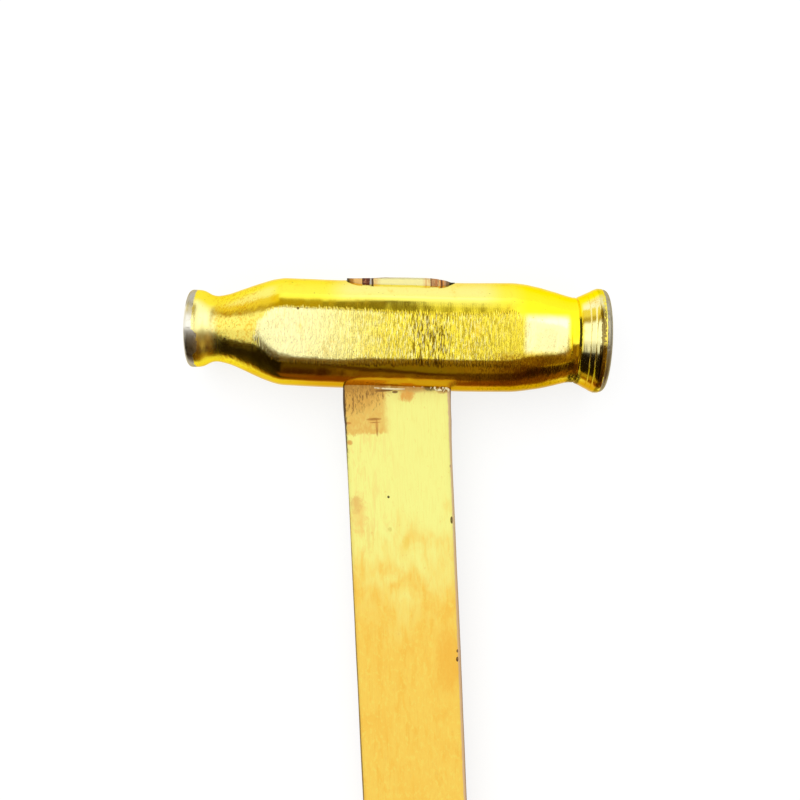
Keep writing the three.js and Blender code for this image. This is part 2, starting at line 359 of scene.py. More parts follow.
def wedge_mesh(name, length, thick_top, thick_tip, depth, along, shift, gap=0.0, run=0.0, rise=0.0):
    """A wedge, or with gap at its sides, run at its ends and rise above it the space it is driven into."""
    rows, steps = 12, 24
    slope = (thick_top - thick_tip) / depth
    sections = []
    for k in range(rows + 1):
        y = WEDGE_TOP - depth - gap + (depth + gap + rise) * k / rows
        thick = thick_tip + slope * (y - WEDGE_TOP + depth)
        a, b = length / 2 + run, thick / 2 + gap
        across = [a - 2 * a * i / steps for i in range(steps + 1)]
        line = [(p, b) for p in across] + [(-p, -b) for p in across]
        sections.append((EYE_AT + shift, y, line if along == "x" else [(q, p) for p, q in line]))
    wedge = stacked(name, sections)
    if not rise:
        def hammered(p):
            dip = top_line(p.x) - 0.06 - WEDGE_TOP + 0.06 * wobble(p.x, p.y, p.z, 1.1, 5.0)
            return p.y + ramp(p.y, WEDGE_TOP - 4, WEDGE_TOP) * dip

        lift(wedge, WEDGE_TOP - 4, hammered)
    return wedge


def wedge_room(name):
    return wedge_mesh("room", *WEDGES[name], gap=0.06, run=3 if name == "wooden_wedge" else 2, rise=4)


def plank_outline(width, inset):
    """The plank's section, with points close together on its sides."""
    w, t, r = width / 2 - inset, UPPER_SIDE - inset, max(HANDLE_ROUND - inset, 0.05)
    points = []
    for sx, sz, start in ((1, 1, 0), (-1, 1, 90), (-1, -1, 180), (1, -1, 270)):
        for k in range(7):
            a = math.radians(start + 15 * k)
            points.append((sx * (w - r) + r * math.cos(a), sz * (t - r) + r * math.sin(a)))
        broad = start in (0, 180)
        steps = 50 if broad else 14
        for k in range(1, steps):
            f = 1 - 2 * k / steps
            points.append((sx * (w - r) * f, sz * t) if broad else (sx * w, sz * (t - r) * f))
    return points


def spread(d, px):
    """The plank is a little wider right under the head."""
    return px * (1 + (0.025 if px > 0 else 0.006) * ramp(-d, -16, -2))


def coped_rows(outline):
    """The end grain that meets the head, ring inside ring, then rows that turn to lie square."""
    rows = [[(EYE_AT + spread(0, px) * s, -math.sqrt(SEAT**2 - (pz * s) ** 2), pz * s) for px, pz in outline]
            for s in (0.04, 0.2, 0.4, 0.6, 0.8, 0.95)]
    steps = 19
    for k in range(steps + 1):
        t = k / steps
        row = []
        for px, pz in outline:
            cope = math.sqrt(max(SEAT**2 - pz**2, 0)) - EYE_TOP
            d = cope * (1 - t) + COCK_RUN * t
            px = spread(d, px)
            row.append((EYE_AT + px * math.cos(COCK * t) + math.sin(COCK) * max(d, 0) * t,
                        -EYE_TOP - d * math.cos(COCK * t) + px * math.sin(COCK * t), pz))
        rows.append(row)
    return rows


def plank_point(d, px, pz):
    """A point of the plank at a distance down from the head, with some grain."""
    side = 1 if pz > 0 else -1
    start = ramp(d, COCK_RUN, COCK_RUN + 14)
    grain = 0.03 * wobble(px * 1.3, d * 0.05, pz * 1.3, 1.0, 4.2) + 0.05 * wobble(px, d, pz, 0.06, 9.0)
    # Long shallow steps where the sides were planed by hand.
    edge = 0.06 + 0.06 * wobble(d * 0.09, side * 3 + (4 if px > 0 else 0), 0, 1.0, 6.6)
    x = spread(d, px) - math.copysign(start * edge * ramp(abs(px), 12, 14.6), px)
    return (EYE_AT + math.sin(COCK) * d + x * math.cos(COCK),
            -EYE_TOP - math.cos(COCK) * d + x * math.sin(COCK), pz + start * (grain - 0.05) * side)


def plank_rows():
    """Rows down the straight plank, close together where it is seen, and round the butt's edge."""
    seen_to, step, widening_run = 110, 0.6, 90
    places = [(d, min(1, (d - COCK_RUN) / widening_run), 0.0)
              for d in np.arange(COCK_RUN + step, seen_to, step)]
    places += [(d, 1.0, 0.0) for d in np.linspace(seen_to, TO_BUTT - BUTT_ROUND, 110)]
    for k in range(1, 7):
        a = k / 6 * math.pi / 2
        places.append((TO_BUTT - BUTT_ROUND * (1 - math.sin(a)), 1.0, BUTT_ROUND * (1 - math.cos(a))))
    rows = []
    for d, widening, inset in places:
        width = HANDLE_WIDTH + (GRIP_WIDTH - HANDLE_WIDTH) * widening
        rows.append([plank_point(d, px, pz) for px, pz in plank_outline(width, inset)])
    return rows


def make_plank():
    """Rows of points from the coped end under the head down to the rounded butt."""
    outline = plank_outline(HANDLE_WIDTH, 0)
    rows = coped_rows(outline) + plank_rows()
    count, last = len(outline), (len(rows) - 1) * len(outline)
    faces = grid_faces(len(rows), count)
    faces.append(tuple(range(count)))
    faces.append(tuple(reversed(range(last, last + count))))
    return mesh_object("handle_wood", [point for row in rows for point in row], faces)


def make_tenon():
    """The part in the eye, with its end hammered over and lower towards the faces."""
    mouth, end_rings = EYE_AT + MOUTH_SHIFT, 16
    end = slot_outline(30.2, 10.8, 5.2, 16)
    sections = [(EYE_AT, -EYE_TOP - 2, slot_outline(28.8, 11.5, 5.2, 16)),
                (EYE_AT, 12, slot_outline(27.2, 11.0, 5.0, 16)),
                (mouth, 14.3, end)]
    for k in range(end_rings):
        scale = 1 - (k / end_rings) ** 1.4
        sections.append((mouth, 15.0 + 0.05 * k, [(px * scale, pz * scale) for px, pz in end]))
    tenon = stacked("tenon", sections)
    lift(tenon, 14.9, lambda p: top_line(p.x) - 0.25 * (p.z / 5.5) ** 2
         - 0.12 * abs(wobble(p.x, p.z, 0, 0.8, 3.0)))
    return tenon


def dent(at, size, depth):
    """A pit in the plank's upper side: place, half sizes across and along, and how deep."""
    x, y = at
    sides = 10
    turns = [2 * math.pi * i / sides for i in range(sides)]
    ring = [(math.cos(a) * size[0], math.sin(a) * size[1]) for a in turns]
    top, floor = UPPER_SIDE + 1, UPPER_SIDE - depth
    verts = [(x + a, y + b, top) for a, b in ring] + [(x + 0.5 * a, y + 0.5 * b, floor) for a, b in ring]
    faces = grid_faces(2, sides) + [tuple(range(sides)), tuple(reversed(range(sides, 2 * sides)))]
    return mesh_object("dent", verts, faces, PLANK)


def make_handle():
    handle, tenon = make_plank(), make_tenon()
    for name in WEDGES:
        boolean(tenon, wedge_room(name))
    boolean(handle, tenon, "UNION")
    # A pin hole, a cross cut with its split, knocks at the right edge and one at the left.
    pits = [(PIN_HOLE, (0.27, 0.27), 1.5), ((-6.5, -7.55), (1.75, 0.13), 0.35),
            ((-5.8, -10.9), (0.11, 2.0), 0.35), ((-6.3, -8.5), (1.3, 0.07), 0.2),
            (SMALL_KNOCK, (0.24, 0.4), 0.5), (LOWER_KNOCK, (0.34, 0.62), 0.7),
            (UPPER_KNOCK, (0.3, 0.85), 0.5), ((-14.9, -70.2), (0.5, 0.55), 0.6)]
    boolean(handle, join([dent(*pit) for pit in pits]))
    return handle


# Shavings
def ribbon(path, width, across, thickness):
    """A thin strip that follows a path, with its broad side along a given direction."""
    verts = []
    for i, p in enumerate(path):
        ahead = (path[min(i + 1, len(path) - 1)] - path[max(i - 1, 0)]).normalized()
        out = ahead.cross(across).normalized() * thickness / 2
        w = across * width * (0.35 + 0.65 * math.sin(math.pi * (i + 0.6) / (len(path) + 0.2))) / 2
        verts += [p + w + out, p - w + out, p - w - out, p + w - out]
    last = 4 * len(path) - 4
    faces = grid_faces(len(path), 4) + [(0, 1, 2, 3), tuple(reversed(range(last, last + 4)))]
    return [tuple(v) for v in verts], faces


# x along the seam, y towards the head, size of the curl, width, how far round it goes
CURLS = ((9.8, -13.8, 0.4, 0.9, 150), (11.1, -13.5, 0.5, 1.7, 200), (11.4, -14.2, 0.4, 1.1, 180),
         (12.2, -13.7, 0.45, 1.6, 150), (12.4, -14.4, 0.4, 1.3, 240), (13.3, -13.4, 0.5, 1.9, 190),
         (13.6, -14.2, 0.45, 1.5, 140), (14.5, -13.9, 0.5, 1.8, 220), (14.9, -14.5, 0.35, 1.0, 150),
         (5.3, -13.5, 0.35, 0.9, 150), (7.6, -13.6, 0.3, 0.7, 140))


def make_shavings():
    """Curls and a splinter of wood that the driven handle left at the seam."""
    rand = random.Random(11)
    steps = 12
    verts, faces = [], []

    def add(path, width, across, thickness=0.07):
        more, quads = ribbon(path, width, across.normalized(), thickness)
        faces.extend(tuple(i + len(verts) for i in f) for f in quads)
        verts.extend(more)

    for x, y, size, width, turn in CURLS:
        lean = rand.choice((-1.2, -0.7, 0.2, 0.9, 1.4)) + rand.uniform(-0.2, 0.2)
        across = Vector((math.cos(lean), math.sin(lean), rand.uniform(-0.25, 0.25)))
        ahead = Vector((-across.y, across.x, 0)).normalized()
        start = Vector((x, y, UPPER_SIDE - 0.03))
        path = []
        for k in range(steps + 1):
            a = math.radians(turn * k / steps)
            r = size * (1 - 0.25 * k / steps)
            path.append(start - ahead * r * math.sin(a) * 0.9 + Vector((0, 0, r * (1 - math.cos(a)) * 0.8)))
        add(path, width, across)
    # A long splinter lying along the seam.
    path = [Vector((-5.5 + 8.4 * t, -14.4 - 0.12 * math.sin(2.5 * t),
                    UPPER_SIDE + 0.12 + 0.28 * math.sin(math.pi * t))) for t in np.linspace(0, 1, 16)]
    add(path, 0.46, Vector((0.02, 1, 0.35)), 0.16)
    return mesh_object("shavings", verts, faces)


# Shader nodes
def linear(r, g, b):
    """A colour picked on screen, 0 to 255, as the renderer's linear colour."""
    def one(v):
        v /= 255
        return v / 12.92 if v <= 0.04045 else ((v + 0.055) / 1.055) ** 2.4
    return (one(r), one(g), one(b))


class Tree:
    """Short names for the shader nodes of one material or world."""

    def __init__(self, owner):
        owner.use_nodes = True
        self.nodes = owner.node_tree.nodes
        self.links = owner.node_tree.links
        self.nodes.clear()

    def node(self, kind, inputs=None, **settings):
        made = self.nodes.new(kind)
        for key, value in settings.items():
            setattr(made, key, value)
        for key, value in (inputs or {}).items():
            self.put(made.inputs[key], value)
        return made

    def put(self, socket, value):
        if isinstance(value, bpy.types.NodeSocket):
            self.links.new(value, socket)
        elif isinstance(value, tuple) and len(value) == 3 and socket.type == "RGBA":
            socket.default_value = (*value, 1)
        else:
            socket.default_value = value

    def math(self, operation, *values):
        made = self.node("ShaderNodeMath", operation=operation)
        for socket, value in zip(made.inputs, values):
            self.put(socket, value)
        return made.outputs[0]

    def chain(self, operation, first, *rest):
        for value in rest:
            first = self.math(operation, first, value)
        return first

    def add(self, *values):
        return self.chain("ADD", *values)

    def times(self, *values):
        return self.chain("MULTIPLY", *values)

    def most(self, *values):
        return self.chain("MAXIMUM", *values)

    def off(self, value, middle, scale):
        """The value's distance from middle, scaled."""
        return self.math("MULTIPLY", self.math("SUBTRACT", value, middle), scale)

    def ragged(self, value, noise, size):
        """The value with a noise on it, which tears the edges made from it."""
        return self.add(value, self.off(noise, 0.5, size))

    def step(self, value, low, high, a=0.0, b=1.0):
        """Goes smoothly from a, below low, to b, above high."""
        made = self.node("ShaderNodeMapRange", interpolation_type="SMOOTHSTEP")
        for key, v in zip(("Value", "From Min", "From Max", "To Min", "To Max"), (value, low, high, a, b)):
            self.put(made.inputs[key], v)
        return made.outputs["Result"]

    def window(self, value, low, high, soft):
        """1 between low and high, fading over soft at both ends."""
        up = self.step(value, low - soft / 2, low + soft / 2)
        down = self.step(value, high - soft / 2, high + soft / 2, 1.0, 0.0)
        return self.times(up, down)

    def oval(self, x, y, at, size, soft=0.5, rag=0.0):
        """1 inside an ellipse, fading at its edge."""
        dx = self.off(x, at[0], 1 / size[0])
        dy = self.off(y, at[1], 1 / size[1])
        d = self.add(self.times(dx, dx), self.times(dy, dy), rag)
        return self.step(d, 1 - soft, 1 + soft, 1.0, 0.0)

    def blend(self, share, a, b):
        """Two values mixed: a where share is 0, b where it is 1."""
        return self.add(self.times(a, self.math("SUBTRACT", 1.0, share)), self.times(b, share))

    def mix(self, factor, a, b):
        """The same for two colours."""
        made = self.node("ShaderNodeMix", data_type="RGBA")
        self.put(made.inputs["Factor"], factor)
        self.put(made.inputs[6], a)
        self.put(made.inputs[7], b)
        return made.outputs[2]

    def paint(self, colour, *layers):
        """A colour under layers of (how much, which colour)."""
        for factor, over in layers:
            colour = self.mix(factor, colour, over)
        return colour

    def picked(self, colour, *layers):
        """The same, with colours picked on screen."""
        return self.paint(linear(*colour), *((factor, linear(*over)) for factor, over in layers))

    def noise(self, vector, scale, detail=2.0, rough=0.5, distortion=0.0, shift=(0, 0, 0)):
        at = self.node("ShaderNodeMapping", {"Vector": vector, "Scale": scale, "Location": shift}).outputs[0]
        made = self.node("ShaderNodeTexNoise", {"Vector": at, "Scale": 1.0, "Detail": detail,
                                                "Roughness": rough, "Distortion": distortion})
        return made.outputs["Fac"]

    def split(self, vector):
        return self.node("ShaderNodeSeparateXYZ", {"Vector": vector}).outputs

    def place(self):
        """The point's place in millimetres, whole and as x, y and z."""
        vector = self.node("ShaderNodeAttribute", attribute_name="place").outputs["Vector"]
        return vector, *self.split(vector)

    def surface(self, colour, height, distance, **settings):
        """A Principled shader with millimetre-scale relief."""
        bump = self.node("ShaderNodeBump", {"Strength": 1.0, "Distance": distance / 1000, "Height": height})
        inputs = {key.replace("_", " "): value for key, value in settings.items()}
        shader = self.node("ShaderNodeBsdfPrincipled",
                           {"Base Color": colour, "Normal": bump.outputs[0], **inputs})
        self.node("ShaderNodeOutputMaterial", {"Surface": shader.outputs[0]})


def new_material(name):
    mat = bpy.data.materials.new(name)
    return mat, Tree(mat)


# The head's gilding and steel
def gilt_relief(t, place, x, ground, pits, rough_end):
    """Grinding marks across the cheeks, and faint pits and turning marks everywhere else."""
    coarse = t.noise(place, (2.8, 0.28, 0.28), 2, 0.6)
    fine = t.noise(place, (5.6, 0.45, 0.45), shift=(5, 0, 0))
    teeth = t.noise(place, (3.2, 1.0, 1.0), 2, 0.6, shift=(0, 3, 0))
    streaks = t.add(t.times(coarse, 1.2), t.times(fine, 0.7), t.times(teeth, 0.7))
    turned = t.noise(place, (3.0, 0.12, 0.12), 3, 0.6)
    smooth = t.add(t.times(turned, t.step(x, 49.5, 51.5, 0.14, 0.5)),
                   t.times(pits, t.add(0.1, t.times(rough_end, 0.7))))
    return t.blend(ground, smooth, streaks)


def gilding(t, place, x, y, z, ground, pits):
    """The gilding's colour, and how much scale and painted groove shade there is at the large neck."""
    upper = t.step(z, 0.0, 1.0)
    cloud = t.noise(place, (0.22, 0.16, 0.16), 4, 0.6, 0.3)
    speck = t.noise(place, (1.9, 1.2, 1.2), 2, 0.6, shift=(9, 1, 4))
    # Painted shade and reflection on the underside towards the handle, weaker towards the small face.
    low = t.times(t.step(t.ragged(t.times(y, -1.0), cloud, 3.0), 9.2, 12.2), t.step(x, -34, -18, 0.45, 1.0))

    # Paler gilding, partly where it is thin and partly painted highlight: on the flats, most towards
    # the small face, on the flares and the small neck, along the top and on the large taper.
    facing = t.times(t.step(t.math("ABSOLUTE", z), 6.0, 8.5), t.step(y, -7.5, -4.5))
    ends = t.add(t.times(t.window(x, -56, -49, 2.5), 0.8), t.times(t.window(x, -49, -33, 3.0), 0.3),
                 t.window(x, 50.4, 56, 1.0))
    pale = t.most(t.times(ground, t.step(x, 4, -30, 0.04, 1.0)),
                  t.times(facing, ends),
                  t.times(t.step(y, 7.5, 12.5), t.window(x, -16, 26, 8), 0.5),
                  t.times(t.window(x, 34.5, 46.4, 1.8), t.window(y, -3.4, 6.5, 2.5)))
    rich = t.most(t.times(t.step(x, 30, 36), t.step(y, 6.3, 7.6)),
                  t.times(t.window(x, 46.6, 50, 1.5), t.step(y, -0.5, 2.0)))

    # Scratches on the flats: dark ones partly real marks and partly painted dark reflection,
    # bright ones painted glints.
    deep = t.noise(place, (3.8, 0.42, 0.42), 2, 0.6, shift=(2, 5, 0))
    most_cut = t.add(0.1, t.step(x, -26, 2, 0.0, 0.45), t.times(t.window(x, 4.0, 14.5, 4), 0.45))
    cut = t.times(ground, t.step(deep, 0.47, 0.57), most_cut, t.step(x, 34, 26, 0.4, 1.0))
    shine = t.noise(place, (4.6, 0.5, 0.5), 2, 0.6, shift=(6, 1, 0))
    bright = t.times(ground, t.step(shine, 0.53, 0.63), t.step(x, 33, 17, 0.3, 1.0))

    # Stains, dirt, chips and dots; darker specks on the lower side of the large taper; scale under
    # the large neck; painted shade in its groove and painted dark reflection at the large face's rim.
    stain = t.times(t.step(cloud, 0.52, 0.7), t.step(speck, 0.4, 0.6, 0.3, 1.0))
    neck_stain = t.times(t.window(x, -50, -37.5, 4), t.step(speck, 0.5, 0.64), 0.6)
    lower_taper_specks = t.times(t.window(x, 27, 43, 6), t.step(y, -2.5, -4.8), t.step(speck, 0.38, 0.6, 0.45, 0.85))
    dark_pits = t.times(t.window(x, 20, 49, 8), t.step(y, -2.0, -5.0), t.step(pits, 0.5, 0.6), 0.6)
    # Dark scale under the large neck, and painted shade in the groove between neck and flare.
    scale_and_groove_shade = t.add(t.times(t.window(x, 47.2, 50.6, 0.9), t.step(y, -9.5, -8.0, 1.0, 0.0),
                          t.step(speck, 0.35, 0.55, 0.3, 1.0)),
                  t.times(t.window(t.ragged(x, speck, 0.4), 49.4, 50.0, 0.2),
                          t.window(y, -1.6, 6.4, 1.5), upper))
    # At the large face's rim: the worn gilding's ragged edge and painted dark reflection, lighter along the
    # top.
    rim = t.times(t.window(t.ragged(x, speck, 0.9), 54.75, 56.1, 0.15), t.step(y, 8.0, 11.0, 1.0, 0.25))
    chips = t.times(t.window(x, 55.5, 56.7, 0.3), t.step(speck, 0.52, 0.56))
    dots = t.most(t.times(t.step(t.noise(place, (1.5, 1.5, 1.5), 1, shift=(3, 3, 3)), 0.74, 0.77), 0.8),
                  t.times(t.oval(x, y, (-26.2, 6.75), (0.33, 0.33)), upper))
    colour = t.paint(
        (0.96, 0.79, 0.045),
        # Painted highlight: the gilding lighter along the top.
        (t.step(y, 8.0, 11.0), (0.98, 0.88, 0.07)),
        (rich, (1.0, 0.88, 0.02)),
        # Paler gilding, partly thin gilding and partly painted highlight.
        (t.times(pale, 0.95), (0.97, 0.92, 0.48)),
        (t.times(stain, 0.45), (0.9, 0.55, 0.025)),
        # Dark scratches, partly painted dark reflection.
        (cut, (0.24, 0.15, 0.004)),
        # Painted glints on the bright scratches.
        (t.times(bright, 0.75), (0.98, 0.95, 0.45)),
        # Painted shade and reflection on the underside.
        (low, (0.7, 0.38, 0.025)),
        (neck_stain, (0.8, 0.45, 0.02)),
        (lower_taper_specks, (0.5, 0.28, 0.01)),
        (dark_pits, (0.3, 0.17, 0.01)),
        # The rim's ragged edge and painted dark reflection.
        (t.times(rim, 0.9), (0.22, 0.14, 0.02)),
        (chips, (0.85, 0.68, 0.1)),
        # Scale under the neck, and painted shade in the groove.
        (t.times(scale_and_groove_shade, 0.92), (0.035, 0.025, 0.018)),
        (dots, (0.2, 0.13, 0.03)),
    )
    return colour, scale_and_groove_shade


def bare_steel(t, place, x, y, z, pits):
    """Where the gilding has worn off both faces, the steel's colour there with a painted highlight on the
    small face, and its relief.
    """
    wear = t.off(t.noise(place, (2.2, 1.1, 1.1), 3, 0.7), 0.5, 1.1)
    tongue = t.times(t.window(y, -6.2, -0.4, 1.8), -1.4)
    bare = t.most(t.step(t.add(x, wear, tongue), -55.25, -55.1, 1.0, 0.0),
                  t.step(t.add(x, t.times(wear, 0.6)), FACE_EDGE, FACE_EDGE + 0.1))
    # The faces are turned, so their marks run round the middle, with a few knocks.
    from_middle = t.math("SQRT", t.add(t.times(y, y), t.times(z, z)))
    rounds = t.noise(t.node("ShaderNodeCombineXYZ", {0: from_middle}).outputs[0], (4.5, 1, 1), 3, 0.7)
    knocks = t.step(t.noise(place, (0.5, 0.5, 0.5), 3, 0.55, shift=(1, 8, 2)), 0.56, 0.66)
    small_end = t.mix(pits, (0.36, 0.34, 0.3), (0.62, 0.6, 0.54))
    large_end = t.mix(rounds, (0.3, 0.27, 0.2), (0.52, 0.49, 0.38))
    steel = t.paint(small_end,
                    (t.step(x, 0, 1), large_end),
                    (t.times(knocks, 0.45), (0.24, 0.21, 0.15)),
                    # Painted highlight on the small face's bare steel.
                    (t.times(t.step(x, -40, -41), t.window(y, 0.3, 6.5, 1.6)), (0.88, 0.87, 0.8)))
    return bare, steel, t.add(t.times(rounds, 0.5), t.times(knocks, -0.8))


def gilt_material():
    """Gilding over steel, ground thin on the cheeks and worn off both faces."""
    mat, t = new_material("gilt_steel")
    place, x, y, z = t.place()
    # The cheeks' grinding marks run across the head, and tail off past the edges of the flats.
    tear = t.noise(place, (2.3, 0.3, 0.3))
    ground = t.times(t.step(t.ragged(t.math("ABSOLUTE", z), tear, 1.3), CHEEK - 0.5, CHEEK - 0.1),
                     t.window(t.ragged(x, tear, 6.0), -42, 35, 4))
    pits = t.noise(place, (2.9, 0.9, 0.9), 3, 0.6)
    rough_end = t.add(t.window(x, -54, -33, 3), t.times(t.window(x, 31, 49, 6), 0.7))
    gilt, scale_and_groove_shade = gilding(t, place, x, y, z, ground, pits)
    bare, steel, turning = bare_steel(t, place, x, y, z, pits)
    marks = t.blend(bare, gilt_relief(t, place, x, ground, pits, rough_end), turning)
    rough = t.add(0.13, t.times(ground, 0.05), t.times(bare, t.step(x, 0, 1, 0.12, 0.3)),
                  t.times(scale_and_groove_shade, 0.3), t.times(rough_end, 0.04), t.times(t.window(x, -57, -47.5, 3), 0.13))
    t.surface(t.mix(bare, gilt, steel), marks, 0.042,
              Metallic=1.0, Roughness=rough, Specular_Tint=(0.95, 0.78, 0.38))
    return mat


# The handle's wood

# Spots on the upper side, stains and painted shadow: place across and up, half sizes, colour on screen, how
# strong
SPOTS = (
    ((4.4, 0.6), (4.0, 1.3), (206, 150, 72), 0.75),
    ((2.7, -1.6), (1.9, 1.5), (232, 164, 64), 0.9),
    # Painted shadow under the splinter.
    ((-3.4, 0.15), (2.5, 0.28), (120, 78, 26), 0.85),
    ((-0.4, -0.35), (0.8, 0.35), (104, 64, 20), 0.85),
    # Painted shade among the curls at the seam.
    ((12.6, -0.6), (1.6, 0.7), (190, 130, 60), 0.7),
    ((9.4, 0.5), (1.9, 1.0), (104, 78, 28), 0.85),
    ((13.2, 0.3), (1.6, 1.0), (150, 104, 44), 0.8),
    ((-13.5, -13.8), (0.8, 0.6), (222, 152, 60), 0.8),
    ((-13.8, -8.4), (1.0, 0.35), (205, 130, 50), 0.7),
    ((-11.9, -34.0), (2.0, 5.5), (250, 206, 106), 0.6),
    ((-12.6, -31.0), (1.5, 2.2), (228, 176, 90), 0.5),
    ((-9.6, -40.0), (0.5, 5.0), (244, 200, 96), 0.4),
    ((11.0, -77.0), (3.0, 9.0), (250, 182, 52), 0.6),
    ((0.8, -42.5), (0.9, 1.6), (250, 214, 84), 0.5),
    ((-3.6, -38.6), (0.5, 0.6), (220, 200, 90), 0.6),
    ((-5.8, -10.0), (0.35, 2.4), (200, 130, 50), 0.6),
    ((-6.5, -7.6), (2.0, 0.4), (186, 116, 36), 0.7),
    ((-6.3, -8.5), (1.5, 0.2), (205, 140, 60), 0.7),
    (PIN_HOLE, (0.33, 0.33), (70, 50, 20), 1.0),
    (UPPER_KNOCK, (0.38, 1.0), (110, 95, 30), 1.0),
    (SMALL_KNOCK, (0.3, 0.45), (110, 60, 15), 0.9),
    (LOWER_KNOCK, (0.4, 0.7), (70, 35, 8), 1.0),
    ((13.9, -21.6), (0.15, 0.4), (120, 80, 20), 0.9),
)


def board(t, x, down, streak, fibre, cloud, fleck):
    """Clear wood: very pale near the head with painted shade just under it, and a warmer yellow further down.
    """
    bow = t.math("MINIMUM", t.times(x, x, 0.03), 7.0)
    lower = t.step(t.add(down, bow, t.off(cloud, 0.5, 44), t.off(streak, 0.5, 16)), 32, 74)
    early = t.times(t.step(down, 70, 40), t.step(x, 4.0, -12.0))
    return t.picked(
        (254, 251, 142),
        (t.times(early, t.step(streak, 0.46, 0.66), 0.6), (252, 218, 118)),
        (t.times(t.step(fibre, 0.45, 0.7), 0.3), (248, 230, 118)),
        # Painted shade just under the head.
        (t.times(t.step(down, 5, -1), 0.4), (236, 206, 110)),
        (lower, (255, 212, 84)),
        (t.times(lower, t.step(streak, 0.5, 0.68), 0.6), (252, 194, 62)),
        (t.times(lower, t.step(cloud, 0.45, 0.7), 0.5), (253, 196, 66)),
        (t.times(lower, t.step(fleck, 0.5, 0.34), 0.6), (255, 226, 98)),
        (t.times(lower, t.step(fibre, 0.48, 0.68), 0.25), (246, 188, 66)),
        (t.times(t.step(fleck, 0.6, 0.74), 0.3), (238, 188, 82)),
    )


def stains_and_shade(t, place, x, y, z, fleck):
    """Layers for the upper side: a bruised corner under the small end, painted shade along the seam under the
    head, and the spots.
    """
    upper = t.step(z, UPPER_SIDE - 1, UPPER_SIDE - 0.2)
    rag = t.off(fleck, 0.5, 4.5)
    bruise = t.times(t.step(t.ragged(x, fleck, 3.0), -4.2, -2.2, 1.0, 0.0),
                     t.step(t.ragged(y, fleck, 3.0), -12.2, -11.2), upper)
    worse = t.times(t.oval(x, y, (-12.5, 1.0), (8.5, 6.0), 0.6, rag), upper)
    dark_fibre = t.times(worse, t.step(t.noise(place, (2.2, 0.5, 2.2), 3, 0.7), 0.5, 0.62))
    # Painted shade along the seam, where the wood meets the head.
    seam = t.times(t.step(t.add(y, t.times(rag, 0.6)), -1.2, 0.9), t.step(z, 4.5, 6.0), t.step(y, 4.0, 3.0))
    layers = [(t.times(bruise, t.step(fleck, 0.3, 0.6, 0.6, 0.9)), (236, 184, 82)),
              (t.times(worse, 0.75), (214, 158, 62)),
              (t.times(dark_fibre, 0.8), (120, 76, 24)),
              # Painted shade at the seam.
              (t.times(seam, t.step(fleck, 0.4, 0.58, 0.35, 0.95)), (186, 134, 48))]
    for at, size, shade, amount in SPOTS:
        crisp = min(size) < 0.5
        inside = t.oval(x, y, at, size, 0.35 if crisp else 0.9, t.times(rag, 0.1 if crisp else 0.9))
        layers.append((t.times(inside, upper, amount), shade))
    return [(factor, linear(*shade)) for factor, shade in layers]


def edge_shading(t, x, z, down, fleck):
    """Layers for the upper edges, painted shade on their rounding: pinkish towards the large face, dark on
    the other side.
    """
    edge = t.step(z, 3.6, 5.2)
    pink = t.step(t.ragged(x, fleck, 0.5), HALF_WIDTH - 0.9, HALF_WIDTH - 0.55)
    pink_side = t.step(x, HALF_WIDTH - 0.1, HALF_WIDTH + 0.15)
    brown = t.step(t.ragged(x, fleck, 0.3), 0.35 - HALF_WIDTH, 0.1 - HALF_WIDTH)
    dark = t.step(t.ragged(x, fleck, 1.2), 0.65 - HALF_WIDTH, 0.25 - HALF_WIDTH)
    return [(t.times(pink, edge, 0.85), linear(232, 192, 150)),
            (t.times(pink_side, edge, 0.7), linear(150, 110, 80)),
            (t.times(brown, edge, 0.9), linear(150, 118, 58)),
            (t.times(dark, t.step(down, 24, 12), edge, 0.9), linear(66, 44, 18))]


def end_grain(t, x, y, z, fibre, fleck):
    """Layers for both ends: growth rings on the butt, and the crushed end of the tenon with painted shadow in
    the gaps by the eye.
    """
    butt = t.step(y, -TO_BUTT + 1.6, -TO_BUTT + 0.6)
    rings = t.math("SINE", t.add(t.times(z, 5.2), t.times(x, 0.35), t.times(fleck, 2.5)))
    rung = t.mix(t.step(rings, -0.6, 0.8), linear(232, 200, 128), linear(204, 158, 90))
    top = t.step(y, 27.0, 28.2)
    torn = t.ragged(x, fleck, 1.0)
    tenon = t.picked(
        (252, 244, 172),
        (t.times(t.step(y, 30.6, 31.0), 0.75), (170, 120, 60)),
        (t.times(t.step(x, -2.6, -4.6), t.step(fibre, 0.35, 0.6, 0.5, 1.0)), (236, 190, 116)),
        (t.step(x, -7.0, -8.0), (236, 186, 110)),
        # Painted shadow in the gap by the eye at the small end.
        (t.step(torn, -10.0, -10.9), (180, 124, 52)),
        (t.step(torn, -11.0, -11.8), (72, 56, 18)),
        (t.window(x, -6.1, -5.45, 0.15), (190, 185, 178)),
        (t.window(x, -5.45, -4.9, 0.15), (80, 56, 36)),
        (t.times(t.step(x, 8.2, 9.4), t.step(fibre, 0.35, 0.6, 0.4, 1.0)), (238, 196, 128)),
        (t.step(x, 12.9, 13.2), (226, 152, 78)),
        (t.window(x, 13.4, 13.9, 0.2), (104, 58, 28)),
        (t.step(x, 14.1, 14.4), (204, 156, 116)),
        (t.step(torn, 14.7, 15.0), (140, 110, 84)),
        # Painted shadow in the gap by the eye at the large end.
        (t.step(x, 15.6, 15.9), (52, 44, 16)),
    )
    return [(butt, rung), (top, tenon)]


